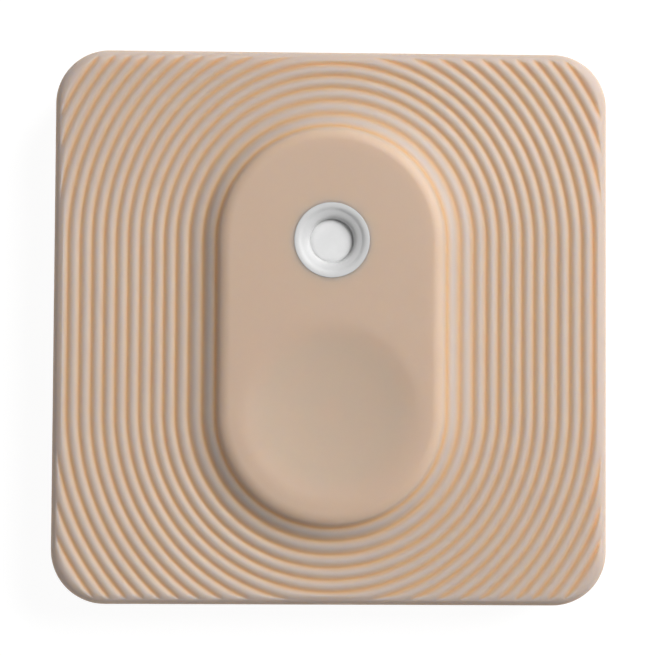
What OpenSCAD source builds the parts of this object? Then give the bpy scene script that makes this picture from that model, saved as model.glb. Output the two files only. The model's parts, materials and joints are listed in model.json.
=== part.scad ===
// Coin-cell temperature and humidity tag: ribbed front cover, sensor port, board, cell, rear cover.
// The origin is the centre of the back face. +Z points out of the front and +Y to the port's end.
// Lengths are in millimetres and angles in degrees.

/* [Housing] */
// Width and height of the square housing
body_w = 35; // [34.8:0.1:35.6]
// Radius of the housing's corners, seen from the front
corner_r = 3.4; // [3:0.1:4]
// Radius of the edge between the front and the side walls
front_edge_r = 0.8; // [0.75:0.01:0.85]
// Radius of the edge between the back and the side walls
back_edge_r = 0.35; // [0.2:0.05:0.4]
// Thickness of the front cover's side walls
wall = 1.2; // [1.1:0.05:1.3]
// Thickness of the front cover's roof, from the tops of the ridges
roof = 0.85; // [0.75:0.05:0.9]

/* [Raised pill] */
// Height of the pill's top above the back face
pill_z = 7.1; // [7:0.05:7.3]
// Distance from the housing's centre to each of the pill's two end centres
end_y = 5.37; // [5.3:0.01:5.5]
// Radius of the pill's flat top
pill_r = 6.3; // [6.25:0.05:6.4]
// Radius of the pill's rounded edge
pill_edge_r = 1.2; // [1.1:0.05:1.3]
// Slope at the foot of the rounded edge, where the flare takes over
foot_slope = 43; // [40:1:44]
// Length over which the flare runs out into the flat field
flare_len = 1.05; // [1:0.05:1.1]
// Radius of the finger dish at the pill's lower end
dish_r = 6; // [5.6:0.1:6.2]
// Width over which the dish's edge runs out level
dish_soft = 0.9; // [0.6:0.1:1.2]
// Depth of the finger dish
dish_depth = 0.45; // [0.3:0.01:0.45]

/* [Ridges] */
// Distance from the pill's centre line to the first groove
first_groove_r = 7.26; // [7.22:0.01:7.3]
// Distance between grooves on the flat field
ridge_pitch = 0.755; // [0.745:0.001:0.76]
// Extra width that the ridges beside the pill share
flare_stretch = 0.265; // [0.2:0.005:0.3]
// Number of ridges over which that extra width is shared
flare_ridges = 1.77; // [1.5:0.01:2.2]
// Depth of the grooves
ridge_depth = 0.22; // [0.15:0.01:0.26]
// Roundness of a groove's floor, from 0 for a sharp floor
groove_round = 0.25; // [0.1:0.05:0.5]
// Straight steps along the section of one ridge
ridge_steps = 6; // [4:2:8]

/* [Sensor port] */
// Outer radius of the port ring, where it shows in the pill
ring_r = 2.35; // [2.3:0.05:2.45]
// Height of the ring's lip above the pill
ring_proud = 0.18; // [0.12:0.01:0.2]
// Radius of the throat at the foot of the funnel
throat_r = 1.4; // [1.38:0.01:1.42]
// Radius of the opening over the filter membrane
port_r = 1.34; // [1.3:0.01:1.36]
// Depth of the membrane's edge below the pill's top
membrane_depth = 0.8; // [0.75:0.05:0.9]
// Height of the membrane's dome
membrane_dome = 0.22; // [0.1:0.02:0.26]
// Radius of the filter membrane
membrane_r = 1.9; // [1.8:0.05:1.95]
// Thickness of the filter membrane
membrane_t = 0.2; // [0.1:0.05:0.2]

/* [Rear cover] */
// Thickness of the rear cover's plate
plate_t = 0.8; // [0.8:0.05:0.9]
// Width of the front cover's rim around the plate
rim_w = 0.65; // [0.6:0.05:0.7]
// Height of the silicone seal between the plate and the front cover
seal_t = 0.3; // [0.25:0.05:0.35]
// Height of the rear cover's inner wall above the back face
upstand_z = 2.6; // [2.4:0.1:2.8]
// How far a snap stands out of the inner wall
snap_out = 0.25; // [0.2:0.05:0.3]
// Length of a snap
snap_len = 4; // [3:0.5:5]
// Distance of each snap from the middle of its side
snap_at = 8; // [7:0.5:9]
// Width of the notch that a coin or nail opens the cover with
notch_w = 6; // [5:0.5:8]

/* [Coin cell] */
// Diameter of the coin cell
cell_d = 20; // [20:0.1:20]
// Thickness of the coin cell
cell_t = 3.2; // [3.2:0.1:3.2]
// Play between the cell and the wall around it
cell_play = 0.15; // [0.1:0.05:0.2]

/* [Circuit board] */
// Thickness of the circuit board
board_t = 0.6; // [0.6:0.1:0.6]
// Radius of the board's round ends
board_r = 8.4; // [8.2:0.1:8.6]
// Place of the fixing posts from the housing's middle, across and along
post_at = [5.6, 9.6]; // [5:0.1:10]
// Radius of the posts' pins that go through the board
pin_r = 0.55; // [0.5:0.05:0.6]

/* [Button switch] */
// Travel of the switch's plunger
travel = 0.25; // [0.2:0.01:0.25]
// Radius of the plunger's stem
stem_r = 0.8; // [0.7:0.05:0.85]
// Play between the front cover's post and the plunger
press_play = 0.07; // [0.05:0.01:0.1]

/* [Hidden] */
$fn = 96;
slack = 0.05;
ring_fit = 0.01;
past = 1;

half = body_w / 2;
flare_h = tan(foot_slope) * flare_len;
edge_drop = pill_edge_r * (1 - cos(foot_slope));
field_z = pill_z - edge_drop - flare_h;
foot_r = pill_r + pill_edge_r * sin(foot_slope);
reach = norm([half - corner_r, half - corner_r - end_y]) + corner_r;
ceiling_z = pill_z - roof;
shell_shift = 0.5;

inner_half = half - wall;
inner_corner_r = corner_r - wall;
rim_half = half - rim_w;
step_z = plate_t + seal_t;
plate_half = rim_half - 0.1;
upstand_half = inner_half - 0.1;
upstand_t = 0.8;
snap_z = 2;

cell_z = plate_t;
cell_r = cell_d / 2;
board_z = cell_z + cell_t + 0.25;
board_top = board_z + board_t;
contact_t = 0.15;

membrane_top = pill_z - membrane_depth;
membrane_foot = membrane_top - membrane_t;
flange_t = 0.55;
ring_foot = ceiling_z - flange_t;
ring_flange_r = ring_r + 0.75;
post_r = 1;

switch_x = 3.9;
switch_y = 3;
switch_floor = board_top + 0.2;
switch_top = board_top + 0.7;
plate_sheet = 0.1;
plunger_top = switch_top + plate_sheet + travel;
lead = [0.6, 0.5, 0.12];
lead_at = [switch_x / 2, 1.1];
dome_r = 1.2;
dome_h = 0.33;
cup_r = 1.35;

board_green = "#1f6b45";
housing_beige = "#c1a995";

// Height of the front over the ridges' tops, at a distance r from the pill's centre line
function crest_z(r) =
    r <= pill_r ? pill_z
    : r <= foot_r ? pill_z - pill_edge_r + sqrt(pow(pill_edge_r, 2) - pow(r - pill_r, 2))
    : field_z + flare_h * exp(-(r - foot_r) / flare_len);

// Distance of groove number k from the centre line: the first few ridges are wider
function groove_r(k) = first_groove_r + ridge_pitch * k
    + flare_stretch * (1 - exp(-pow(k / flare_ridges, 2)));

// Share of the groove depth at number k: 1 in a groove and 0 on a crest
function groove_share(k) =
    let (s = groove_round, top = sqrt(1 + s * s))
    (top - sqrt(pow(sin(180 * k), 2) + s * s)) / (top - s);

// Section of the front, from the centre line outwards: past the last whole ridge it stays level
last_ridge = 15.5;
edge_step = 0.14;
pill_section = [for (i = [0 : 3]) let (r = pill_r + i * edge_step) [r, crest_z(r)]];
ridge_section = [for (i = [-ridge_steps / 2 : last_ridge * ridge_steps])
    let (k = i / ridge_steps, r = groove_r(k))
    [r, crest_z(r) - ridge_depth * groove_share(k)]];
front_section = concat([[0, -past], [0, pill_z]], pill_section, ridge_section,
    [[reach + past, crest_z(reach)], [reach + past, -past]]);

// Section of the room inside, which follows the front at the roof's thickness
flare_rooms = [for (r = [pill_r - 0.6 : 0.75 : 12]) [r, crest_z(r + shell_shift) - roof]];
room_section = concat([[0, -past], [0, ceiling_z]], flare_rooms,
    [[reach, field_z - roof], [reach, -past]]);

// Section of what is cut for the finger dish: a shallow bowl, then an edge that runs out level
dish_slope = 2 * dish_depth / dish_r;
bowl_r = dish_r - dish_soft;
bowl_section = [for (i = [0 : 6]) let (r = bowl_r * i / 6)
    [r, pill_z - dish_depth + dish_slope * r * r / (2 * bowl_r)]];
soft_section = [for (i = [1 : 3]) let (left = dish_soft * (1 - i / 4))
    [dish_r - left, pill_z - dish_slope * left * left / (2 * dish_soft)]];
dish_section = concat(bowl_section, soft_section,
    [[dish_r + 0.1, pill_z + 0.004], [dish_r + 0.1, pill_z + past], [0, pill_z + past]]);

// A section swept around the pill's centre line: two half turns and the straight between them
module around_pill(section) {
    right = [for (p = section) if (p[0] > 0) p];
    left = [for (i = [len(right) - 1 : -1 : 0]) [-right[i][0], right[i][1]]];
    for (side = [0, 180])
        rotate([0, 0, side]) translate([0, end_y, 0])
            rotate_extrude(angle = 180) polygon(section);
    translate([0, end_y, 0]) rotate([90, 0, 0])
        linear_extrude(2 * end_y) polygon(concat(right, left));
}

// A stadium-shaped plate around the pill's centre line
module stadium(r, z0, z1) {
    translate([0, 0, z0]) linear_extrude(z1 - z0) {
        for (y = [-end_y, end_y]) translate([0, y]) circle(r);
        square([2 * r, 2 * end_y], center = true);
    }
}

// A square plate with round corners
module square_plate(h, r, z0, z1) {
    translate([0, 0, z0]) linear_extrude(z1 - z0) {
        for (x = [-1, 1], y = [-1, 1]) translate([x * (h - r), y * (h - r)]) circle(r);
        square([2 * h, 2 * (h - r)], center = true);
        square([2 * (h - r), 2 * h], center = true);
    }
}

// The outer half of a wall's section, w wide, with its front and back edges rounded
module edge_section(w, top) {
    difference() {
        square([w, top]);
        translate([w - front_edge_r, top - front_edge_r]) square(2 * front_edge_r);
        translate([w - back_edge_r, -back_edge_r]) square(2 * back_edge_r);
    }
    translate([w - front_edge_r, top - front_edge_r]) circle(front_edge_r);
    translate([w - back_edge_r, back_edge_r]) circle(back_edge_r);
}

// The housing's block, with round corners and edges
module housing_block(top) {
    core = half - corner_r;
    for (side = [0 : 90 : 270]) rotate([0, 0, side]) translate([core, core, 0]) {
        rotate_extrude(angle = 90) edge_section(corner_r, top);
        rotate([90, 0, 0]) linear_extrude(2 * core) edge_section(corner_r, top);
    }
    translate([0, 0, top / 2]) cube([2 * core, 2 * core, top], center = true);
}

// What stands at the mirror images of one place
module four_ways(at) {
    for (x = [-1, 1], y = [-1, 1]) translate([x * at[0], y * at[1], 0]) children();
}

// The snaps on the four sides of the rear cover's inner wall, or the seats cut for them
module snaps(grow) {
    out = snap_out + grow;
    high = snap_out + grow;
    for (side = [0 : 90 : 270], at = [-snap_at, snap_at])
        rotate([0, 0, side]) translate([upstand_half, at, snap_z])
            rotate([90, 0, 0])
                linear_extrude(snap_len + 2 * grow, center = true)
                    polygon([[-upstand_t / 2, -high], [0, -high], [out, 0], [0, high],
                        [-upstand_t / 2, high]]);
}

module front_cover() {
    block_top = field_z + 0.01;
    raised_r = 11;
    hinge_r = 3.6;
    hinge_w = 1;
    hinge_deep = 0.2;
    notch_h = 0.6;
    color(housing_beige)
        difference() {
            intersection() {
                around_pill(front_section);
                union() {
                    housing_block(block_top);
                    stadium(raised_r, past, pill_z + past);
                }
            }
            // The room inside: posts and ribs stand in it, and none can reach through the front
            difference() {
                intersection() {
                    around_pill(room_section);
                    square_plate(inner_half, inner_corner_r, -past, ceiling_z + past);
                }
                press_post();
                fixing_posts();
                corner_ribs();
            }
            square_plate(rim_half, corner_r - rim_w, -past, step_z);
            translate([0, -end_y, 0]) rotate_extrude() polygon(dish_section);
            translate([0, end_y, 0]) cylinder(r = ring_r + ring_fit, h = pill_z + past);
            translate([0, -end_y, 0]) difference() {
                cylinder(r = hinge_r + hinge_w, h = ceiling_z + hinge_deep);
                cylinder(r = hinge_r, h = ceiling_z + past);
            }
            snaps(slack);
            translate([0, -half, 0]) cube([notch_w, 3 * rim_w, 2 * notch_h], center = true);
        }
}

// The post behind the finger dish that meets the switch
module press_post() {
    foot = plunger_top + press_play;
    translate([0, -end_y, foot]) cylinder(r = post_r, h = pill_z - foot);
}

// Posts that the board rests against, with pins that are pressed over behind it
module fixing_posts() {
    four_ways(post_at) {
        translate([0, 0, board_top]) cylinder(r = post_r, h = pill_z - board_top);
        translate([0, 0, board_z - 0.3]) cylinder(r = pin_r, h = board_t + 0.6);
    }
}

// Ribs that stiffen the roof between the cell and the corners
module corner_ribs() {
    rib_t = 0.7;
    rib_h = 0.9;
    inner = 12.6;
    outer = norm([inner_half, inner_half]) - 0.8;
    for (side = [45 : 90 : 315])
        rotate([0, 0, side]) translate([inner, -rib_t / 2, field_z - roof - rib_h])
            cube([outer - inner, rib_t, rib_h + 0.2]);
}

module port_ring() {
    lip_z = pill_z + ring_proud;
    lip_r = 0.2;
    step_r = 1.87;
    color("white")
        translate([0, end_y, 0]) rotate_extrude() difference() {
            union() {
                square_from([0, ring_foot], [ring_r, lip_z - lip_r]);
                square_from([0, ring_foot], [ring_flange_r, ceiling_z]);
                square_from([0, ring_foot], [ring_r - lip_r, lip_z]);
                translate([ring_r - lip_r, lip_z - lip_r]) circle(lip_r);
            }
            polygon([[0, lip_z + past], [ring_r - lip_r, lip_z + past], [ring_r - lip_r, lip_z],
                [2.02, lip_z - 0.035], [step_r + 0.03, lip_z - 0.105], [step_r, lip_z - 0.12],
                [throat_r + 0.24, lip_z - 0.19], [throat_r + 0.1, lip_z - 0.28],
                [throat_r + 0.02, lip_z - 0.44], [throat_r, lip_z - 0.55],
                [port_r, membrane_top], [0, membrane_top]]);
            square_from([-past, ring_foot - past], [membrane_r + slack, membrane_top]);
        }
}

// A rectangle from one corner to the opposite one
module square_from(low, high) {
    translate(low) square([high[0] - low[0], high[1] - low[1]]);
}

module filter_membrane() {
    dome = [for (i = [6 : -1 : 0]) let (share = i / 6)
        [port_r * share, membrane_top + membrane_dome * (1 - share * share)]];
    color("#e8e8e6") translate([0, end_y, 0]) rotate_extrude()
        polygon(concat([[0, membrane_foot], [membrane_r, membrane_foot],
            [membrane_r, membrane_top]], dome));
}

// The gasket's collar goes up into the ring and holds the membrane's edge
module port_gasket() {
    outer_r = 2.6;
    bore_r = 1.3;
    color("#3a3a3c") translate([0, end_y, board_top]) difference() {
        union() {
            cylinder(r = outer_r, h = ring_foot - board_top);
            cylinder(r = membrane_r, h = membrane_foot - board_top);
        }
        translate([0, 0, -past]) cylinder(r = bore_r, h = pill_z);
    }
}

module circuit_board() {
    slot_r = 3.3;
    slot_w = 0.8;
    neck = 2.4;
    color(board_green) difference() {
        stadium(board_r, board_z, board_top);
        four_ways(post_at) cylinder(r = pin_r + slack, h = board_top + past);
        // The slot that keeps the board's warmth away from the sensor
        translate([0, end_y, board_z - past]) difference() {
            cylinder(r = slot_r + slot_w, h = board_t + 2 * past);
            cylinder(r = slot_r, h = board_t + 2 * past);
            translate([0, -slot_r, board_t]) cube([neck, 2 * slot_r, 4 * past], center = true);
        }
    }
}

module sensor_chip() {
    size = 1.5;
    high = 0.5;
    window_r = 0.35;
    color("#2b2b2d") translate([0, end_y, board_top]) difference() {
        translate([0, 0, high / 2]) cube([size, size, high], center = true);
        translate([0, 0, high - 0.1]) cylinder(r = window_r, h = past);
    }
}

module radio_chip() {
    size = 4;
    high = 0.8;
    mark_at = 1.4;
    mark_r = 0.25;
    color("#2b2b2d") translate([0, -0.5, board_top]) difference() {
        translate([0, 0, high / 2]) cube([size, size, high], center = true);
        translate([-mark_at, mark_at, high - 0.05]) cylinder(r = mark_r, h = past);
    }
}

// A small sealed can with a raised lid
module can(at, size) {
    rim = 0.2;
    translate([at[0], at[1], board_top]) {
        translate([0, 0, size[2] * 0.35]) cube([size[0], size[1], size[2] * 0.7], center = true);
        translate([0, 0, size[2] / 2]) cube([size[0] - rim, size[1] - rim, size[2]], center = true);
    }
}

module main_crystal() {
    color("silver") can([4.2, -0.5], [1.6, 2, 0.45]);
}

module clock_crystal() {
    color("silver") can([-4.2, -0.5], [1.2, 2, 0.5]);
}

// A block-shaped part with a metal cap at each end, turned by an angle about Z
module end_capped(at, size, turn = 0) {
    cap = size[0] * 0.22;
    grow = 0.04;
    translate([at[0], at[1], board_top]) rotate([0, 0, turn]) {
        translate([0, 0, size[2] / 2]) cube(size, center = true);
        for (side = [-1, 1])
            translate([side * (size[0] - cap) / 2, 0, (size[2] + grow) / 2])
                cube([cap, size[1] + grow, size[2] + grow], center = true);
    }
}

module chip_antenna() {
    color("#e9e4da") end_capped([0, 10.6], [5, 1.8, 0.8]);
}

module status_led() {
    lens_h = 0.45;
    color("#f3f1dc") {
        translate([4.9, end_y, board_top + 0.1]) cube([0.8, 1.6, 0.2], center = true);
        translate([4.9, end_y, board_top + lens_h / 2]) cube([0.76, 1.1, lens_h], center = true);
    }
}

module capacitors() {
    size = [1, 0.5, 0.5];
    color("#b59a78") {
        for (y = [-0.5 : 1.1 : 1.9]) end_capped([-5.7, y], size);
        for (y = [-2.2 : 1.1 : 0.2]) end_capped([5.9, y], size);
        for (x = [-1.1, 1.1]) end_capped([x, 2.05], size);
    }
}

module resistors() {
    size = [1, 0.5, 0.35];
    color("#35353a") {
        for (x = [-1.8, 0, 1.8]) end_capped([x, -3.2], size);
        for (y = [-9.4, -8.3]) end_capped([0, y], size);
    }
}

module inductors() {
    size = [1.2, 0.6, 0.6];
    color("#55504b") for (x = [-1.4, 1.4]) end_capped([x, -11.2], size);
}

module bulk_capacitor() {
    color("#b08f6a") end_capped([-4.6, -5.4], [3.2, 1.6, 1.1], 90);
}

module switch_base() {
    color("#1c1c1e") translate([0, -end_y, 0]) difference() {
        translate([0, 0, (board_top + switch_top) / 2])
            cube([switch_x, switch_y, switch_top - board_top], center = true);
        translate([0, 0, switch_floor]) cylinder(r = cup_r, h = past);
        translate([0, 0, board_top]) leads();
    }
}

// The switch's four leads, or the seats cut for them in its base
module leads() {
    four_ways(lead_at) translate([0, 0, lead[2] / 2]) cube(lead, center = true);
}

module switch_dome() {
    sheet = 0.05;
    dome_sphere_r = (pow(dome_r, 2) + pow(dome_h, 2)) / (2 * dome_h);
    color("silver") translate([0, -end_y, 0]) rotate_extrude() intersection() {
        translate([0, switch_floor + dome_h - dome_sphere_r]) difference() {
            circle(dome_sphere_r);
            circle(dome_sphere_r - sheet);
        }
        translate([0, switch_floor]) square([dome_r + past, past]);
    }
}

module switch_plunger() {
    foot = switch_floor + dome_h + 0.02;
    flange_t = 0.1;
    chamfer = 0.08;
    color("#d9d4c8") translate([0, -end_y, 0]) rotate_extrude()
        polygon([[0, foot], [1.1, foot], [1.1, foot + flange_t], [stem_r, foot + flange_t],
            [stem_r, plunger_top - chamfer], [stem_r - chamfer, plunger_top], [0, plunger_top]]);
}

module switch_plate() {
    tab_h = 0.45;
    tab_w = 1.2;
    color("silver") translate([0, -end_y, switch_top]) {
        difference() {
            translate([0, 0, plate_sheet / 2])
                cube([switch_x, switch_y, plate_sheet], center = true);
            translate([0, 0, -past]) cylinder(r = stem_r + slack, h = 2 * past);
        }
        for (side = [-1, 1])
            translate([side * (switch_x + plate_sheet) / 2, 0, plate_sheet - tab_h / 2])
                cube([plate_sheet, tab_w, tab_h], center = true);
    }
}

module switch_terminals() {
    color("silver") translate([0, -end_y, board_top]) leads();
}

module coin_cell() {
    top = cell_z + cell_t;
    color("#c9cacb") rotate_extrude()
        polygon([[0, cell_z], [cell_r - 0.3, cell_z], [cell_r, cell_z + 0.3],
            [cell_r, top - 0.5], [cell_r - 0.3, top - 0.2], [cell_r - 0.9, top - 0.2],
            [cell_r - 1.1, top - 0.4], [cell_r - 1.4, top - 0.4], [cell_r - 1.5, top],
            [0, top]]);
}

module negative_contact() {
    wide = 5;
    long = 7;
    tongue = 1.6;
    gap = 0.4;
    slot = 4.4;
    slot_y = 0.6;
    under_board = board_z - cell_z - cell_t;
    color("#d8c27a") translate([0, 0, board_z - contact_t]) {
        difference() {
            translate([0, 0, contact_t / 2]) cube([wide, long, contact_t], center = true);
            for (side = [-1, 1])
                translate([side * (tongue + gap) / 2, slot_y, 0])
                    cube([gap, slot, past], center = true);
            translate([0, slot / 2 + slot_y, 0])
                cube([tongue + 2 * gap, gap, past], center = true);
        }
        translate([0, tongue, contact_t - under_board])
            cylinder(r = 0.5, h = under_board - contact_t / 2);
    }
}

module positive_contact() {
    t = 0.2;
    touch = -cell_r - 0.02;
    wide = 5;
    color("#d8c27a") rotate([90, 0, 90]) linear_extrude(wide, center = true)
        polygon([[touch - 2.8, board_z], [touch - 2.8, board_z - t], [touch - 1.2, board_z - t],
            [touch - t, 2.5], [touch - 0.7 - t, 1.2], [touch - 0.7, 1.2], [touch, 2.5],
            [touch - 0.9, board_z]]);
}

module rear_seal() {
    color("#4a4744") difference() {
        square_plate(plate_half, corner_r - rim_w - 0.1, plate_t, step_z);
        square_plate(inner_half, inner_corner_r, 0, step_z + past);
    }
}

module rear_cover() {
    well_t = 0.8;
    well_z = 3.4;
    contact_gap = 6.4;
    rib_z = 2;
    rib_t = 0.7;
    notch_d = 0.6;
    well_r = cell_r + cell_play;
    rib_len = norm([upstand_half, upstand_half]) - well_r - 2.3;
    color(housing_beige) {
        difference() {
            square_plate(plate_half, corner_r - rim_w - 0.1, 0, plate_t);
            translate([0, -plate_half, 0]) rotate([45, 0, 0])
                cube([notch_w, notch_d, notch_d], center = true);
        }
        difference() {
            square_plate(upstand_half, inner_corner_r - 0.1, plate_t, upstand_z);
            square_plate(upstand_half - upstand_t, inner_corner_r - 0.1 - upstand_t,
                0, upstand_z + past);
        }
        intersection() {
            snaps(0);
            square_plate(half, corner_r, 0, upstand_z);
        }
        difference() {
            cylinder(r = well_r + well_t, h = well_z);
            translate([0, 0, plate_t]) cylinder(r = well_r, h = well_z);
            translate([0, 0, plate_t + well_z])
                cube([contact_gap, 3 * cell_r, 2 * well_z], center = true);
        }
        for (side = [45 : 90 : 315])
            rotate([0, 0, side]) translate([well_r + well_t / 2, -rib_t / 2, plate_t / 2])
                cube([rib_len, rib_t, rib_z]);
    }
}

front_cover();
port_ring();
filter_membrane();
port_gasket();
circuit_board();
sensor_chip();
radio_chip();
main_crystal();
clock_crystal();
chip_antenna();
status_led();
capacitors();
resistors();
inductors();
bulk_capacitor();
switch_base();
switch_dome();
switch_plunger();
switch_plate();
switch_terminals();
coin_cell();
negative_contact();
positive_contact();
rear_seal();
rear_cover();
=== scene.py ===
# Temperature and humidity tag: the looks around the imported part, whose front faces +Z. The scene is in
# metres, and the sizes of the modelled pieces are in millimetres.
import json
import math

import bmesh
import bpy
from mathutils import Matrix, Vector


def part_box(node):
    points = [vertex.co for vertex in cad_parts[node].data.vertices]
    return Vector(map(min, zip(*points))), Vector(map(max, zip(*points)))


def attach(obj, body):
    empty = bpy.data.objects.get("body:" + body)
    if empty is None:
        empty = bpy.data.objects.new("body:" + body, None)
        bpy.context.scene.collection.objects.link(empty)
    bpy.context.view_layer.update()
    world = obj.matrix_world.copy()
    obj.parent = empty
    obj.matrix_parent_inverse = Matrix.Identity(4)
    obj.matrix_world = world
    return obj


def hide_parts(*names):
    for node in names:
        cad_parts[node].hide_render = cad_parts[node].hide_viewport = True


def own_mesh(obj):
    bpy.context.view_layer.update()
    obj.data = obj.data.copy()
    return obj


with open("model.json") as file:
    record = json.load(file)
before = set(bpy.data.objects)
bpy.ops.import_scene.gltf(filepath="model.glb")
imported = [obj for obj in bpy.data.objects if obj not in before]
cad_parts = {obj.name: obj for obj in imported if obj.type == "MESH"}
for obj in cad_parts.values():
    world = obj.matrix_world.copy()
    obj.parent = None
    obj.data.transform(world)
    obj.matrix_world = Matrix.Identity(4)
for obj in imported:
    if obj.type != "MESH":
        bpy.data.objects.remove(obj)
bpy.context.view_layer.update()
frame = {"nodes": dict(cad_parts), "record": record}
mm = 0.001
same = 1e-6  # points nearer than this lie together
print("frame loaded:", len(frame["nodes"]), "nodes")


# Camera: it stands over the lower left of the front, as in the photograph
cameraSet = {
    "place": (-3.45 * mm, -5.38 * mm, 130 * mm),
    "turn": (2.43, -1.52, 0.35),  # degrees
    "lens": 108.36,
    "sensor": 36,
}


def makeCamera():
    data = bpy.data.cameras.new("camera")
    data.lens = cameraSet["lens"]
    data.sensor_width = cameraSet["sensor"]
    data.clip_start = 1 * mm
    data.clip_end = 10
    camera = bpy.data.objects.new("camera", data)
    camera.location = cameraSet["place"]
    camera.rotation_euler = [math.radians(a) for a in cameraSet["turn"]]
    bpy.context.scene.collection.objects.link(camera)
    bpy.context.scene.camera = camera


makeCamera()
print("camera ready")


# Node helpers
def newMaterial(name):
    material = bpy.data.materials.new(name)
    material.use_nodes = True
    material.node_tree.nodes.clear()
    return material, material.node_tree


def addNode(tree, kind, values=None, **settings):
    node = tree.nodes.new(kind)
    for name, value in settings.items():
        setattr(node, name, value)
    for socket, value in (values or {}).items():
        node.inputs[socket].default_value = value
    return node


def mathNode(tree, operation, first, second=None, clamp=False):
    node = addNode(tree, "ShaderNodeMath", operation=operation, use_clamp=clamp)
    for socket, value in zip(node.inputs, (first, second)):
        if value is None:
            continue
        if isinstance(value, (int, float)):
            socket.default_value = value
        else:
            tree.links.new(value, socket)
    return node.outputs[0]


# The Mix node has sockets for every kind of value: 6 and 7 are its colours, and 2 is the colour that it gives
def mixColours(tree, factor, first, second):
    node = addNode(tree, "ShaderNodeMix", data_type="RGBA")
    for socket, value in zip((node.inputs[0], node.inputs[6], node.inputs[7]), (factor, first, second)):
        if isinstance(value, (int, float)):
            socket.default_value = value
        elif isinstance(value, (tuple, list)):
            socket.default_value = linear(value)
        else:
            tree.links.new(value, socket)
    return node.outputs[2]


# A colour as it is picked from a screen, 0 to 255, as linear light
def linear(colour):
    shares = [c / 255 for c in colour]
    return [s / 12.92 if s <= 0.04045 else ((s + 0.055) / 1.055) ** 2.4 for s in shares] + [1]


def newGroup(name, inputs, outputs):
    tree = bpy.data.node_groups.new(name, "ShaderNodeTree")
    for socket, value in inputs.items():
        made = tree.interface.new_socket(name=socket, in_out="INPUT", socket_type="NodeSocketFloat")
        made.default_value = value
    for socket in outputs:
        tree.interface.new_socket(name=socket, in_out="OUTPUT", socket_type="NodeSocketFloat")
    return tree, tree.nodes.new("NodeGroupInput"), tree.nodes.new("NodeGroupOutput")


def placeGroup(tree, name, **values):
    node = addNode(tree, "ShaderNodeGroup")
    node.node_tree = bpy.data.node_groups[name]
    for socket, value in values.items():
        node.inputs[socket].default_value = value
    return node


# Modelling helpers. A section is a list of (across, up) points in millimetres.
past = 1  # how far a cutter runs past what it cuts


def pick(piece):
    bpy.ops.object.select_all(action="DESELECT")
    piece.select_set(True)
    bpy.context.view_layer.objects.active = piece


def drawSection(name, points, y=0):
    bpy.ops.object.select_all(action="DESELECT")
    bpy.ops.mesh.primitive_plane_add(size=mm)
    piece = bpy.context.object
    piece.name = name
    piece.data.name = name
    bpy.ops.object.mode_set(mode="EDIT")
    bpy.ops.mesh.select_mode(type="VERT")
    bpy.ops.mesh.select_all(action="SELECT")
    bpy.ops.mesh.merge(type="CENTER")  # one point is left, and it is drawn out along the section
    bpy.ops.transform.translate(value=(points[0][0] * mm, y * mm, points[0][1] * mm))
    for here, there in zip(points, points[1:]):
        step = ((there[0] - here[0]) * mm, 0, (there[1] - here[1]) * mm)
        bpy.ops.mesh.extrude_region_move(TRANSFORM_OT_translate={"value": step})
    return piece


def closeUp():
    bpy.ops.mesh.select_all(action="SELECT")
    bpy.ops.mesh.remove_doubles(threshold=same)
    bpy.ops.mesh.normals_make_consistent(inside=False)
    bpy.ops.object.mode_set(mode="OBJECT")


# A section that starts on the middle line ends there too, and any other is closed to a ring
def closedOrHalf(points):
    return points if points[0][0] == 0 else points + points[:1]


# A section turned once round the upright line at the given y
def turned(name, points, y=0, steps=96):
    piece = drawSection(name, closedOrHalf(points), y)
    bpy.ops.mesh.select_all(action="SELECT")
    bpy.ops.mesh.spin(steps=steps, angle=2 * math.pi, center=(0, y * mm, 0), axis=(0, 0, 1))
    closeUp()
    return piece


# A section swept around the pill's centre line: a half turn, a straight, a half turn, a straight
def aroundPill(name, points, steps):
    endY = coverSet["endY"]
    piece = drawSection(name, closedOrHalf(points), endY)
    bpy.ops.mesh.select_all(action="SELECT")
    for side in (1, -1):
        centre = (0, side * endY * mm, 0)
        bpy.ops.mesh.spin(steps=steps, angle=-math.pi, center=centre, axis=(0, 0, 1))
        straight = (0, -side * 2 * endY * mm, 0)
        bpy.ops.mesh.extrude_region_move(TRANSFORM_OT_translate={"value": straight})
    closeUp()
    return piece


# A flat outline in the XZ plane pushed out along Y to both sides
def prism(name, points, length):
    piece = drawSection(name, points, -length / 2)
    bpy.ops.mesh.select_all(action="SELECT")
    bpy.ops.mesh.edge_face_add()
    bpy.ops.mesh.extrude_region_move(TRANSFORM_OT_translate={"value": (0, length * mm, 0)})
    closeUp()
    return piece


def selectEdges(piece, wanted):
    bpy.ops.mesh.select_mode(type="EDGE")
    bpy.ops.mesh.select_all(action="DESELECT")
    mesh = bmesh.from_edit_mesh(piece.data)
    for edge in mesh.edges:
        edge.select_set(wanted(edge))
    bmesh.update_edit_mesh(piece.data)


def isUpright(edge):
    a, b = edge.verts
    return abs(a.co.x - b.co.x) < same and abs(a.co.y - b.co.y) < same


# Edges between a flat face at the given height and the walls around it
def isRim(height):
    wallTilt = 0.1

    def test(edge):
        level = all(abs(v.co.z - height * mm) < same for v in edge.verts)
        return level and any(abs(f.normal.z) < wallTilt for f in edge.link_faces)
    return test


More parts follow.
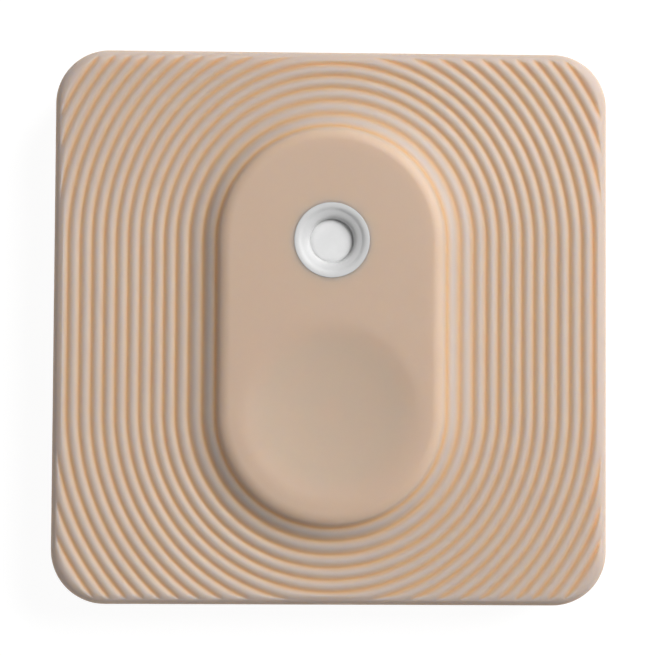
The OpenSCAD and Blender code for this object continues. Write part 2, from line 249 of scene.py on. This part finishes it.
# A square block with round corners and, where it is given a radius for them, round top and back edges
def squareBlock(name, half, corner, low, high, topEdge=0, backEdge=0, cornerSteps=28, edgeSteps=10):
    bpy.ops.object.select_all(action="DESELECT")
    bpy.ops.mesh.primitive_cube_add(size=1, location=(0, 0, (low + high) / 2 * mm),
                                    scale=(2 * half * mm, 2 * half * mm, (high - low) * mm))
    piece = bpy.context.object
    piece.name = name
    bpy.ops.object.transform_apply(location=True, rotation=False, scale=False)
    bpy.ops.object.mode_set(mode="EDIT")
    selectEdges(piece, isUpright)
    bpy.ops.mesh.bevel(offset=corner * mm, segments=cornerSteps, affect="EDGES")
    for height, radius in ((high, topEdge), (low, backEdge)):
        if radius:
            selectEdges(piece, isRim(height))
            bpy.ops.mesh.bevel(offset=radius * mm, segments=edgeSteps, affect="EDGES")
    closeUp()
    return piece


def combine(piece, other, operation):
    modifier = piece.modifiers.new("combine", "BOOLEAN")
    modifier.operation = operation
    modifier.solver = "MANIFOLD"
    modifier.object = other
    pick(piece)
    bpy.ops.object.modifier_apply(modifier=modifier.name)
    bpy.data.objects.remove(other)


def cut(piece, *others):
    for other in others:
        combine(piece, other, "DIFFERENCE")


def add(piece, *others):
    for other in others:
        combine(piece, other, "UNION")


def movedBy(piece, x, y):
    pick(piece)
    bpy.ops.transform.translate(value=(x * mm, y * mm, 0))
    bpy.ops.object.transform_apply(location=True, rotation=False, scale=False)
    return piece


def turnedBy(piece, degrees):
    pick(piece)
    bpy.ops.transform.rotate(value=math.radians(degrees), orient_axis="Z", center_override=(0, 0, 0))
    bpy.ops.object.transform_apply(location=True, rotation=True, scale=False)
    return piece


def smoothed(piece, degrees=40):
    pick(piece)
    bpy.ops.object.shade_smooth_by_angle(angle=math.radians(degrees))
    return piece


def arc(centre, radius, start, end, steps):
    turns = [math.radians(start + (end - start) * i / steps) for i in range(steps + 1)]
    return [(centre[0] + radius * math.cos(a), centre[1] + radius * math.sin(a)) for a in turns]


# Stage: a pale floor that the camera sees as white, a soft lamp from the upper right, and an even fill
stageSet = {
    "floorHalf": 1500, "floorCorner": 100, "floorThick": 1,  # millimetres
    "openingHalf": 17, "openingCorner": 2.9,  # under the part, whose back shows through it from below
    "floorColour": (222, 221, 219),
    "floorWhite": 0.93,  # what the camera sees of the floor before the lamps light it
    "floorShare": 0.16,  # share of the real floor in that view, which keeps the shadow
    "fill": 0.28,
    "lampPower": 3.05,
    "lampSize": 0.36,  # metres, as its distance
    "lampDistance": 0.5,
    "lampAzimuth": 35,  # degrees from +X towards +Y
    "lampElevation": 43,
}


def seenDirectly(tree):
    path = addNode(tree, "ShaderNodeLightPath")
    mirrored = mathNode(tree, "ADD", path.outputs["Is Glossy Ray"], path.outputs["Is Transmission Ray"])
    return mathNode(tree, "ADD", path.outputs["Is Camera Ray"], mirrored, clamp=True)


# One shader for what lights the part, and another for what is seen directly
def splitBySight(tree, lighting, seen, output):
    mix = addNode(tree, "ShaderNodeMixShader")
    tree.links.new(seenDirectly(tree), mix.inputs[0])
    tree.links.new(lighting.outputs[0], mix.inputs[1])
    tree.links.new(seen.outputs[0], mix.inputs[2])
    tree.links.new(mix.outputs[0], addNode(tree, output).inputs[0])


def makeFloor():
    s = stageSet
    under = -s["floorThick"]
    floor = squareBlock("floor", s["floorHalf"], s["floorCorner"], under, 0)
    cut(floor, squareBlock("opening", s["openingHalf"], s["openingCorner"], under - past, past))
    material, tree = newMaterial("paleFloor")
    lit = addNode(tree, "ShaderNodeBsdfDiffuse", {"Color": linear(s["floorColour"])})
    white = addNode(tree, "ShaderNodeEmission", {"Strength": s["floorWhite"]})
    dim = addNode(tree, "ShaderNodeBsdfDiffuse", {"Color": [s["floorShare"]] * 3 + [1]})
    seen = addNode(tree, "ShaderNodeAddShader")
    tree.links.new(white.outputs[0], seen.inputs[0])
    tree.links.new(dim.outputs[0], seen.inputs[1])
    splitBySight(tree, lit, seen, "ShaderNodeOutputMaterial")
    floor.data.materials.clear()
    floor.data.materials.append(material)


def makeFill():
    world = bpy.data.worlds.new("studio")
    world.use_nodes = True
    tree = world.node_tree
    tree.nodes.clear()
    fill = addNode(tree, "ShaderNodeBackground", {"Strength": stageSet["fill"]})
    white = addNode(tree, "ShaderNodeBackground", {"Strength": 1})
    splitBySight(tree, fill, white, "ShaderNodeOutputWorld")
    bpy.context.scene.world = world


def makeLamp():
    s = stageSet
    azimuth, elevation = math.radians(s["lampAzimuth"]), math.radians(s["lampElevation"])
    level = math.cos(elevation)
    towards = Vector((math.cos(azimuth) * level, math.sin(azimuth) * level, math.sin(elevation)))
    data = bpy.data.lights.new("softLamp", "AREA")
    data.shape = "DISK"
    data.size = s["lampSize"]
    data.energy = s["lampPower"]
    lamp = bpy.data.objects.new("softLamp", data)
    lamp.location = towards * s["lampDistance"]
    lamp.rotation_euler = towards.to_track_quat("Z", "Y").to_euler()
    bpy.context.scene.collection.objects.link(lamp)


# Front cover: the part's own front in millimetres and degrees, with lower ridges
coverSet = {
    "half": 17.5, "corner": 3.4, "topEdge": 0.8, "backEdge": 0.35,
    "wall": 1.2, "roof": 0.85, "rimWidth": 0.65, "rimTop": 1.1,
    "pillTop": 7.1, "pillR": 6.3, "pillEdgeR": 1.2, "footSlope": 43, "flareLength": 1.05, "endY": 5.37,
    "dishR": 6, "dishDepth": 0.45, "dishSoft": 0.9,  # the dish's edge runs out level over its soft width
    "firstGroove": 7.26, "pitch": 0.755, "stretch": 0.265, "stretchOver": 1.77,
    "ridgeDepth": 0.13, "grooveRound": 0.25, "firstRidge": -0.5, "lastRidge": 15.5, "ridgeSteps": 14,
    "turnSteps": 96, "postSteps": 32, "smoothBelow": 58, "blockOver": 0.01,
    "portHoleR": 2.355, "portHoleFoot": 4,
    "flexFrom": 3.6, "flexTo": 4.6, "flexDeep": 0.2,  # a thinner ring in the roof lets the dish flex
    "boardTop": 4.85, "boardUnder": 4.25,
    "plungerTop": 5.9, "pressPlay": 0.07, "pressR": 1, "pressEdge": 0.06,
    "postAt": (5.6, 9.6), "postR": 1, "pinR": 0.55, "pinBelow": 0.3, "pinEdge": 0.1,
    "ribThick": 0.7, "ribHigh": 0.9, "ribFrom": 12.6, "ribSlant": 0.5, "ribShort": 0.8, "ribRoot": 0.2,
    "upstandHalf": 16.2, "snapOut": 0.3, "snapRoot": 0.4, "snapLength": 4.1, "snapAt": 8, "snapZ": 2,
    "notchHalf": 3, "notchTop": 0.6, "notchReach": 1.95,
}


# How far the flare rises, the level of the ridged field, and where the pill's edge turns into the flare
def frontShape():
    c = coverSet
    slope = math.radians(c["footSlope"])
    flareRise = math.tan(slope) * c["flareLength"]
    field = c["pillTop"] - c["pillEdgeR"] * (1 - math.cos(slope)) - flareRise
    foot = c["pillR"] + c["pillEdgeR"] * math.sin(slope)
    return flareRise, field, foot


# Height of the front along the tops of the ridges, at a distance from the pill's centre line
def crestHeight(r):
    c = coverSet
    flareRise, field, foot = frontShape()
    if r <= c["pillR"]:
        return c["pillTop"]
    if r <= foot:
        return c["pillTop"] - c["pillEdgeR"] + math.sqrt(c["pillEdgeR"] ** 2 - (r - c["pillR"]) ** 2)
    return field + flareRise * math.exp(-(r - foot) / c["flareLength"])


# Distance of groove k from the pill's centre line: the spacing widens on the flare
def grooveAt(k):
    c = coverSet
    return c["firstGroove"] + c["pitch"] * k + c["stretch"] * (1 - math.exp(-(k / c["stretchOver"]) ** 2))


# 1 at the foot of a groove, where k is whole, and 0 on the ridges beside it
def grooveShare(k):
    s = coverSet["grooveRound"]
    top = math.sqrt(1 + s * s)
    return (top - math.sqrt(math.sin(math.pi * k) ** 2 + s * s)) / (top - s)


# How far the housing's corners reach from the pill's centre line
def coverReach():
    c = coverSet
    side = c["half"] - c["corner"]
    return math.hypot(side, side - c["endY"]) + c["corner"]


def frontSection():
    c = coverSet
    edgeStep, edgePoints = 0.06, 11
    edgeRadii = [c["pillR"] - edgeStep + edgeStep * i for i in range(edgePoints)]
    pillEdge = [(r, crestHeight(r)) for r in edgeRadii]
    ridges = []
    for i in range(int((c["lastRidge"] - c["firstRidge"]) * c["ridgeSteps"]) + 1):
        k = c["firstRidge"] + i / c["ridgeSteps"]
        r = grooveAt(k)
        ridges.append((r, crestHeight(r) - c["ridgeDepth"] * grooveShare(k)))
    far = coverReach() + past
    return [(0, c["pillTop"])] + pillEdge + ridges + [(far, crestHeight(far)), (far, -past), (0, -past)]


# The room inside follows the front half a millimetre further in, so that the flare's wall keeps its thickness
def roomSection():
    c = coverSet
    ceiling = c["pillTop"] - c["roof"]
    field = frontShape()[1]
    shift, lead, step, points = 0.5, 0.6, 0.375, 17
    radii = [c["pillR"] - lead + step * i for i in range(points)]
    followed = [(r, crestHeight(r + shift) - c["roof"]) for r in radii]
    far = coverReach()
    return [(0, ceiling)] + followed + [(far, field - c["roof"]), (far, -past), (0, -past)]


# The finger dish: a shallow cup whose edge runs out level, so that no line shows around it
def dishSection():
    c = coverSet
    slope = 2 * c["dishDepth"] / c["dishR"]
    bowlR = c["dishR"] - c["dishSoft"]

    def height(r):
        if r <= bowlR:
            return c["pillTop"] - c["dishDepth"] + slope * r * r / (2 * bowlR)
        return c["pillTop"] - slope * (c["dishR"] - r) ** 2 / (2 * c["dishSoft"])

    bowlSteps, softSteps = 12, 8
    radii = [bowlR * i / bowlSteps for i in range(bowlSteps + 1)]
    radii += [bowlR + c["dishSoft"] * i / softSteps for i in range(1, softSteps)]
    justOver = c["pillTop"] + 0.002
    over = c["pillTop"] + past
    return [(r, height(r)) for r in radii] + [(c["dishR"], justOver), (c["dishR"], over), (0, over)]


def snapSeats(piece):
    c = coverSet
    out = c["snapOut"]
    start = c["upstandHalf"]
    root = start - c["snapRoot"]
    outline = [(root, c["snapZ"] - out), (start, c["snapZ"] - out), (start + out, c["snapZ"]),
               (start, c["snapZ"] + out), (root, c["snapZ"] + out)]
    for side in range(4):
        for at in (-c["snapAt"], c["snapAt"]):
            seat = movedBy(prism("seat", outline, c["snapLength"]), 0, at)
            cut(piece, turnedBy(seat, 90 * side))


# The posts and ribs are left standing in the room, so that none of them can reach through the front
def leavePosts(room):
    c = coverSet
    foot = c["plungerTop"] + c["pressPlay"]
    head = c["pillTop"]
    r = c["pressR"]
    press = [(0, foot), (r - c["pressEdge"], foot), (r, foot + c["pressEdge"]), (r, head), (0, head)]
    cut(room, turned("pressPost", press, -c["endY"], c["postSteps"]))
    x, y = c["postAt"]
    r = c["postR"]
    pinFoot = c["boardUnder"] - c["pinBelow"]
    pin = [(0, pinFoot), (c["pinR"] - c["pinEdge"], pinFoot), (c["pinR"], pinFoot + c["pinEdge"])]
    post = pin + [(c["pinR"], c["boardTop"]), (r, c["boardTop"]), (r, head), (0, head)]
    for side in ((1, 1), (1, -1), (-1, 1), (-1, -1)):
        cut(room, movedBy(turned("fixingPost", post, 0, c["postSteps"]), side[0] * x, side[1] * y))


def leaveRibs(room):
    c = coverSet
    innerHalf = c["half"] - c["wall"]
    inner = c["ribFrom"]
    outer = math.hypot(innerHalf, innerHalf) - c["ribShort"]
    ceiling = frontShape()[1] - c["roof"]
    top, foot = ceiling + c["ribRoot"], ceiling - c["ribHigh"]
    outline = [(inner, top), (inner + c["ribSlant"], foot), (outer, foot), (outer, top)]
    for side in range(4):
        cut(room, turnedBy(prism("rib", outline, c["ribThick"]), 45 + 90 * side))


def makeFrontCover():
    c = coverSet
    field = frontShape()[1]
    ceiling = c["pillTop"] - c["roof"]
    cover = aroundPill("frontCover", frontSection(), c["turnSteps"])
    blockTop = field + c["blockOver"]
    block = squareBlock("block", c["half"], c["corner"], 0, blockTop, c["topEdge"], c["backEdge"])
    over = c["pillTop"] + past
    # the block ends at the field's level, and a column on it takes in the flare and the pill
    columnR, columnFoot, columnSteps = 11, 1, 32
    column = [(0, over), (columnR, over), (columnR, columnFoot), (0, columnFoot)]
    add(block, aroundPill("column", column, columnSteps))
    combine(cover, block, "INTERSECT")
    roomSteps, spare = 48, 0.5
    room = aroundPill("room", roomSection(), roomSteps)
    innerHalf, innerCorner = c["half"] - c["wall"], c["corner"] - c["wall"]
    combine(room, squareBlock("roomWall", innerHalf, innerCorner, -spare, ceiling + spare), "INTERSECT")
    leavePosts(room)
    leaveRibs(room)
    rimHalf, rimCorner = c["half"] - c["rimWidth"], c["corner"] - c["rimWidth"]
    rebate = squareBlock("rebate", rimHalf, rimCorner, -spare, c["rimTop"])
    low, high = ceiling - spare, ceiling + c["flexDeep"]
    flex = [(c["flexFrom"], low), (c["flexFrom"], high), (c["flexTo"], high), (c["flexTo"], low)]
    hole = [(0, c["portHoleFoot"]), (c["portHoleR"], c["portHoleFoot"]), (c["portHoleR"], over), (0, over)]
    flexSteps, dishSteps = 64, 128
    cut(cover, room, rebate, turned("hinge", flex, -c["endY"], flexSteps),
        turned("portHole", hole, c["endY"]), turned("dish", dishSection(), -c["endY"], dishSteps))
    snapSeats(cover)
    side, top = c["notchHalf"], c["notchTop"]
    notch = [(-side, -top), (-side, top), (side, top), (side, -top)]
    cut(cover, movedBy(prism("notch", notch, c["notchReach"]), 0, -c["half"]))
    smoothed(cover, c["smoothBelow"])
    cover.data.materials.clear()
    cover.data.materials.append(bpy.data.materials["beigeHousing"])
    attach(cover, "housing")
    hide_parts("front_cover")


# Port ring: a funnel with a fine ledge, and a straight throat under it
ringSet = {
    "lipTop": 7.12, "outerR": 2.36, "lipR": 0.02, "lipSteps": 6,
    "flangeR": 3.1, "flangeTop": 6.25, "foot": 5.7, "flangeEdge": 0.08,
    "portR": 1.34, "membraneTop": 6.3, "seatR": 1.95,
    # the funnel's line: radius, and depth under the lip's top
    "funnel": ((2.18, 0.006), (2.1, 0.022), (2.03, 0.045), (1.97, 0.08), (1.91, 0.118), (1.86, 0.14),
               (1.8, 0.158), (1.73, 0.18), (1.66, 0.205), (1.58, 0.24), (1.52, 0.28), (1.47, 0.33),
               (1.43, 0.4), (1.405, 0.5), (1.4, 0.6)),
    "steps": 144,
}


def ringSection():
    r = ringSet
    top, foot, edge = r["lipTop"], r["foot"], r["flangeEdge"]
    lip = arc((r["outerR"] - r["lipR"], top - r["lipR"]), r["lipR"], 0, 90, r["lipSteps"])
    funnel = [(radius, top - deep) for radius, deep in r["funnel"]]
    seat = [(r["portR"], r["membraneTop"]), (r["seatR"], r["membraneTop"]), (r["seatR"], foot)]
    flange = [(r["flangeR"] - edge, foot), (r["flangeR"], foot + edge), (r["flangeR"], r["flangeTop"] - edge),
              (r["flangeR"] - edge, r["flangeTop"]), (r["outerR"], r["flangeTop"])]
    return lip + funnel + seat + flange


def makePortRing():
    ring = turned("portRing", ringSection(), coverSet["endY"], ringSet["steps"])
    smoothed(ring)
    ring.data.materials.append(bpy.data.materials["whitePort"])
    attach(ring, "housing")
    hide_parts("port_ring")


# Filter membrane: a thin disc of porous film, raised over the sensor, with a nearly flat top
membraneSet = {
    "r": 1.9, "thick": 0.2, "freeR": 1.36, "dome": 0.15, "flatness": 10,
    # where the dome's points lie between its middle and the free radius, closer together towards the edge
    "shares": (0, 0.2, 0.4, 0.55, 0.65, 0.72, 0.78, 0.83, 0.87, 0.91, 0.94, 0.97, 1),
}


def makeMembrane():
    m = membraneSet
    top = ringSet["membraneTop"]
    foot = top - m["thick"]
    domed = [(m["freeR"] * share, top + m["dome"] * (1 - share ** m["flatness"])) for share in m["shares"]]
    section = domed + [(m["r"], top), (m["r"], foot), (0, foot)]
    membrane = turned("filterMembrane", section, coverSet["endY"])
    smoothed(membrane)
    membrane.data.materials.append(bpy.data.materials["porousFilm"])
    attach(membrane, "housing")
    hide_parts("filter_membrane")


# Snap dome of the button switch: a sprung cap that the plunger presses nearly flat
domeSet = {
    "r": 1.2, "height": 0.33, "sheet": 0.05, "arcSteps": 12, "turnSteps": 64,
    "pressed": 0.28,  # share of its height that is left when the plunger is down
}


def makeSnapDome():
    d = domeSet
    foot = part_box("switch_dome")[0][2] / mm
    top = foot + d["height"]
    outerR = (d["r"] ** 2 + d["height"] ** 2) / (2 * d["height"])
    innerR = outerR - d["sheet"]
    middle = top - outerR
    outerRim, innerRim = [math.degrees(math.asin((foot - middle) / r)) for r in (outerR, innerR)]
    outer = arc((0, middle), outerR, 90, outerRim, d["arcSteps"])[1:]
    inner = arc((0, middle), innerR, innerRim, 90, d["arcSteps"])[:-1]
    section = [(0, top)] + outer + inner + [(0, middle + innerR)]
    dome = turned("snapDome", section, -coverSet["endY"], d["turnSteps"])
    smoothed(dome)
    dome.data.materials.append(bpy.data.materials["tinnedSheet"])
    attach(dome, "housing")
    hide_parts("switch_dome")
    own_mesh(dome)


# Effects that several materials share
def makeGrainGroup():
    tree, start, end = newGroup("mouldGrain", {"Size": 0.1, "Height": 1.0, "Mottle": 5.0}, ("Height", "Tone"))
    where = addNode(tree, "ShaderNodeTexCoord").outputs["Object"]
    perMetre = mathNode(tree, "DIVIDE", 1000.0, start.outputs["Size"])
    fine = addNode(tree, "ShaderNodeTexNoise", {"Detail": 2.0, "Roughness": 0.6})
    tree.links.new(where, fine.inputs["Vector"])
    tree.links.new(perMetre, fine.inputs["Scale"])
    broad = addNode(tree, "ShaderNodeTexNoise", {"Detail": 3.0, "Roughness": 0.5})
    tree.links.new(where, broad.inputs["Vector"])
    tree.links.new(mathNode(tree, "DIVIDE", 1000.0, start.outputs["Mottle"]), broad.inputs["Scale"])
    tree.links.new(mathNode(tree, "MULTIPLY", fine.outputs[0], start.outputs["Height"]), end.inputs["Height"])
    fineShare = 0.35
    mixed = mathNode(tree, "ADD", mathNode(tree, "MULTIPLY", fine.outputs[0], fineShare),
                     mathNode(tree, "MULTIPLY", broad.outputs[0], 1 - fineShare))
    tree.links.new(mixed, end.inputs["Tone"])


# Where the colour of the ridged field, with its painted groove shade, starts, in millimetres, and how softly.
# It starts inside the pill's foot, so the painted shade also lies along the pill's foot.
fieldSet = {"insideFoot": 0.35, "footSoft": 0.3, "underField": 0.45, "underSoft": 0.2}


# Groove is 0 on a ridge's top and 1 in a groove, and says how much of the painted groove shade a point gets.
# Field is 1 on the ridged field, and 0 on the pill and the side walls.
def makeGrooveGroup():
    c = coverSet
    f = fieldSet
    flareRise, field, foot = frontShape()
    tree, start, end = newGroup("grooveShade", {"Edge": c["topEdge"]}, ("Groove", "Field"))
    where = addNode(tree, "ShaderNodeTexCoord").outputs["Object"]
    parts = addNode(tree, "ShaderNodeSeparateXYZ")
    tree.links.new(where, parts.inputs[0])
    x = mathNode(tree, "ABSOLUTE", parts.outputs[0])
    y = mathNode(tree, "ABSOLUTE", parts.outputs[1])
    z = parts.outputs[2]

    def length(a, b):
        squares = mathNode(tree, "ADD", mathNode(tree, "MULTIPLY", a, a), mathNode(tree, "MULTIPLY", b, b))
        return mathNode(tree, "SQRT", squares)

    def beyond(value, limit):
        return mathNode(tree, "MAXIMUM", mathNode(tree, "SUBTRACT", value, limit), 0.0)

    away = length(x, beyond(y, c["endY"] * mm))
    out = mathNode(tree, "DIVIDE", mathNode(tree, "SUBTRACT", foot * mm, away), c["flareLength"] * mm)
    flare = mathNode(tree, "MULTIPLY", mathNode(tree, "EXPONENT", out), flareRise * mm)
    crest = mathNode(tree, "ADD", flare, field * mm)
    core = (c["half"] - c["corner"]) * mm
    outline = mathNode(tree, "SUBTRACT", length(beyond(x, core), beyond(y, core)), c["corner"] * mm)
    edge = mathNode(tree, "MULTIPLY", start.outputs["Edge"], mm)
    into = beyond(mathNode(tree, "ADD", edge, outline), 0.0)  # how far into the rounded edge
    edgeSquared = mathNode(tree, "MULTIPLY", edge, edge)
    left = mathNode(tree, "SUBTRACT", edgeSquared, mathNode(tree, "MULTIPLY", into, into))
    drop = mathNode(tree, "SUBTRACT", edge, mathNode(tree, "SQRT", mathNode(tree, "MAXIMUM", left, 0.0)))
    lowered = mathNode(tree, "SUBTRACT", mathNode(tree, "SUBTRACT", crest, drop), z)
    depth = mathNode(tree, "DIVIDE", lowered, c["ridgeDepth"] * mm, clamp=True)
    outside = mathNode(tree, "SUBTRACT", away, (foot - f["insideFoot"]) * mm)
    onField = mathNode(tree, "DIVIDE", outside, f["footSoft"] * mm, clamp=True)
    above = mathNode(tree, "SUBTRACT", z, (field - f["underField"]) * mm)
    high = mathNode(tree, "DIVIDE", above, f["underSoft"] * mm, clamp=True)
    onFront = mathNode(tree, "MULTIPLY", onField, high)
    tree.links.new(mathNode(tree, "MULTIPLY", depth, onFront), end.inputs["Groove"])
    tree.links.new(onFront, end.inputs["Field"])


def finish(tree, shader):
    tree.links.new(shader.outputs[0], addNode(tree, "ShaderNodeOutputMaterial").inputs[0])


def bump(tree, shader, height, strength, distance):
    node = addNode(tree, "ShaderNodeBump", {"Strength": strength, "Distance": distance * mm})
    tree.links.new(height, node.inputs["Height"])
    tree.links.new(node.outputs[0], shader.inputs["Normal"])


# Noise lies mostly between 0.3 and 0.7
def mapped(tree, value, low, high):
    ends = {"From Min": 0.3, "From Max": 0.7, "To Min": low, "To Max": high}
    node = addNode(tree, "ShaderNodeMapRange", ends)
    tree.links.new(value, node.inputs[0])
    return node.outputs[0]


# Housing plastic: beige, fine matt, with painted shade and a painted warm glow down in the grooves, and ridge
# tops painted paler as painted sheen
housingSet = {
    "plainColour": (203, 177, 155), "darker": (198, 171, 149),
    # the next two colours are painted light: the ridge tops paler and cooler as painted sheen, the grooves
    # darker in blue and warmer in red as painted shade with a painted glow of light scattered in the plastic
    "paintedRidgeSheen": (190, 174, 165), "paintedGrooveShade": (216, 177, 131),
    "roughness": (0.48, 0.6), "grain": 0.09, "bump": 0.25,
    "mottle": 4.0, "mottleShare": 0.35, "fineHeight": 0.01,
    "depth": 1.0,  # share of the light that enters the plastic
    "reach": (1.6, 1.3, 0.8),  # how far red, green and blue go in it, in millimetres
}


def makeHousingPlastic():
    h = housingSet
    material, tree = newMaterial("beigeHousing")
    grain = placeGroup(tree, "mouldGrain", Size=h["grain"], Mottle=h["mottle"])
    grooves = placeGroup(tree, "grooveShade")
    shader = addNode(tree, "ShaderNodeBsdfPrincipled", {
        "IOR": 1.5, "Subsurface Weight": h["depth"], "Subsurface Radius": h["reach"], "Subsurface Scale": mm})
    mottled = mapped(tree, grain.outputs["Tone"], 0.0, h["mottleShare"])
    base = mixColours(tree, mottled, h["plainColour"], h["darker"])
    # painted light: the ridge colour on the ridge tops, and the groove colour as painted shade down in the
    # grooves
    ridged = mixColours(tree, grooves.outputs["Groove"], h["paintedRidgeSheen"], h["paintedGrooveShade"])
    tree.links.new(mixColours(tree, grooves.outputs["Field"], base, ridged), shader.inputs["Base Color"])
    tree.links.new(mapped(tree, grain.outputs["Tone"], *h["roughness"]), shader.inputs["Roughness"])
    bump(tree, shader, grain.outputs["Height"], h["bump"], h["fineHeight"])
    finish(tree, shader)


# Plain finishes: two colours between which the tone wanders, roughness, grain in millimetres and its bump
plainFinishes = {
    "whitePort": {"colours": ((212, 212, 212), (205, 205, 205)), "rough": (0.46, 0.56), "grain": 0.08,
                  "bump": 0.1, "reach": 0.15},  # reach: how far light goes in the plastic, in millimetres
    "porousFilm": {"colours": ((226, 226, 226), (217, 217, 217)), "rough": (0.8, 0.95), "grain": 0.05,
                   "bump": 0.4},
    "darkSilicone": {"colours": ((66, 63, 60), (52, 50, 48)), "rough": (0.6, 0.78), "grain": 0.12,
                     "bump": 0.3},
    "mouldingCompound": {"colours": ((34, 34, 36), (24, 24, 26)), "rough": (0.5, 0.7), "grain": 0.06,
                         "bump": 0.35},
    "firedCeramic": {"colours": ((176, 148, 114), (158, 130, 98)), "rough": (0.35, 0.55), "grain": 0.05,
                     "bump": 0.2},
    "antennaCeramic": {"colours": ((226, 221, 209), (212, 206, 192)), "rough": (0.22, 0.35), "grain": 0.07,
                       "bump": 0.15},
    "palestNylon": {"colours": ((217, 210, 195), (204, 196, 180)), "rough": (0.45, 0.6), "grain": 0.07,
                    "bump": 0.2},
    "clearEpoxy": {"colours": ((234, 228, 192), (220, 212, 172)), "rough": (0.12, 0.22), "grain": 0.3,
                   "bump": 0.05},
}
plainSet = {"mottlePerGrain": 25, "fineHeight": 0.01}  # the grain's height is in millimetres


def makePlainFinish(name, values):
    material, tree = newMaterial(name)
    mottle = values["grain"] * plainSet["mottlePerGrain"]
    grain = placeGroup(tree, "mouldGrain", Size=values["grain"], Mottle=mottle)
    shader = addNode(tree, "ShaderNodeBsdfPrincipled", {"IOR": 1.47})
    if "reach" in values:
        shader.inputs["Subsurface Weight"].default_value = 1
        shader.inputs["Subsurface Radius"].default_value = [values["reach"]] * 3
        shader.inputs["Subsurface Scale"].default_value = mm
    colour = mixColours(tree, mapped(tree, grain.outputs["Tone"], 0.0, 1.0), *values["colours"])
    tree.links.new(colour, shader.inputs["Base Color"])
    tree.links.new(mapped(tree, grain.outputs["Tone"], *values["rough"]), shader.inputs["Roughness"])
    bump(tree, shader, grain.outputs["Height"], values["bump"], plainSet["fineHeight"])
    finish(tree, shader)


# Metals: fine drawn lines along X, with their width and height in millimetres
metalFinishes = {
    "tinnedSheet": {"colours": ((200, 200, 198), (178, 178, 176)), "rough": (0.22, 0.4), "line": 0.03},
    "nickelSteel": {"colours": ((190, 191, 193), (170, 171, 174)), "rough": (0.2, 0.36), "line": 0.05},
    "goldFlash": {"colours": ((212, 188, 122), (190, 164, 100)), "rough": (0.2, 0.35), "line": 0.04},
}
lineSet = {"bump": 0.2, "height": 0.004}


def makeLineGroup():
    tree, start, end = newGroup("drawnLines", {"Width": 0.05, "Length": 3.0}, ("Line",))
    where = addNode(tree, "ShaderNodeTexCoord").outputs["Object"]
    parts = addNode(tree, "ShaderNodeSeparateXYZ")
    tree.links.new(where, parts.inputs[0])
    joined = addNode(tree, "ShaderNodeCombineXYZ")
    for i, size in enumerate(("Length", "Width", "Width")):
        place = mathNode(tree, "MULTIPLY", parts.outputs[i], 1000.0)
        tree.links.new(mathNode(tree, "DIVIDE", place, start.outputs[size]), joined.inputs[i])
    lines = addNode(tree, "ShaderNodeTexNoise", {"Scale": 1.0, "Detail": 3.0, "Roughness": 0.6})
    tree.links.new(joined.outputs[0], lines.inputs["Vector"])
    tree.links.new(lines.outputs[0], end.inputs["Line"])


def makeMetal(name, values):
    material, tree = newMaterial(name)
    lines = placeGroup(tree, "drawnLines", Width=values["line"])
    shader = addNode(tree, "ShaderNodeBsdfPrincipled", {"Metallic": 1.0})
    colour = mixColours(tree, mapped(tree, lines.outputs["Line"], 0.0, 1.0), *values["colours"])
    tree.links.new(colour, shader.inputs["Base Color"])
    tree.links.new(mapped(tree, lines.outputs["Line"], *values["rough"]), shader.inputs["Roughness"])
    bump(tree, shader, lines.outputs["Line"], lineSet["bump"], lineSet["height"])
    finish(tree, shader)


# Circuit board: green solder mask over copper tracks, with the weave of the laminate under it
boardSet = {
    "mask": (30, 92, 58), "track": (52, 122, 76), "trackSize": 1.3, "trackFrom": 0.5, "trackHeight": 0.03,
    "weave": 0.35, "weaveShare": 0.3, "mottle": 3.0, "roughness": (0.25, 0.38), "bump": 0.4,
}


def makeBoardFinish():
    b = boardSet
    material, tree = newMaterial("greenBoard")
    where = addNode(tree, "ShaderNodeTexCoord").outputs["Object"]
    tracks = addNode(tree, "ShaderNodeTexVoronoi", {"Scale": 1000 / b["trackSize"]}, distance="CHEBYCHEV",
                     feature="F1")
    tree.links.new(where, tracks.inputs["Vector"])
    isTrack = mathNode(tree, "GREATER_THAN", tracks.outputs["Distance"], b["trackFrom"])
    grain = placeGroup(tree, "mouldGrain", Size=b["weave"], Mottle=b["mottle"])
    shader = addNode(tree, "ShaderNodeBsdfPrincipled", {"IOR": 1.5})
    tree.links.new(mixColours(tree, isTrack, b["mask"], b["track"]), shader.inputs["Base Color"])
    tree.links.new(mapped(tree, grain.outputs["Tone"], *b["roughness"]), shader.inputs["Roughness"])
    weave = mathNode(tree, "MULTIPLY", grain.outputs["Height"], b["weaveShare"])
    bump(tree, shader, mathNode(tree, "ADD", isTrack, weave), b["bump"], b["trackHeight"])
    finish(tree, shader)


slotFinishes = {
    "housing": "beigeHousing", "port_plastic": "whitePort", "membrane": "porousFilm",
    "silicone": "darkSilicone", "board": "greenBoard", "moulding_compound": "mouldingCompound",
    "ceramic": "firedCeramic", "antenna_ceramic": "antennaCeramic", "led_resin": "clearEpoxy",
    "tinned_steel": "tinnedSheet", "cell_steel": "nickelSteel", "contact_metal": "goldFlash",
    "plunger_plastic": "palestNylon",
}


def dressNodes():
    for part in frame["record"]["subparts"]:
        node = frame["nodes"][part["node"]]
        node.data.materials.clear()
        node.data.materials.append(bpy.data.materials[slotFinishes[part["material_slot"]]])


makeFloor()
makeFill()
makeLamp()
bpy.context.scene.view_settings.view_transform = "Standard"
print("stage ready")

makeGrainGroup()
makeGrooveGroup()
makeLineGroup()
makeHousingPlastic()
for name, values in plainFinishes.items():
    makePlainFinish(name, values)
for name, values in metalFinishes.items():
    makeMetal(name, values)
makeBoardFinish()
dressNodes()
print("finishes ready:", len(slotFinishes))

makeFrontCover()
print("front cover modelled")
makePortRing()
makeMembrane()
print("port modelled")
makeSnapDome()
print("snap dome modelled")
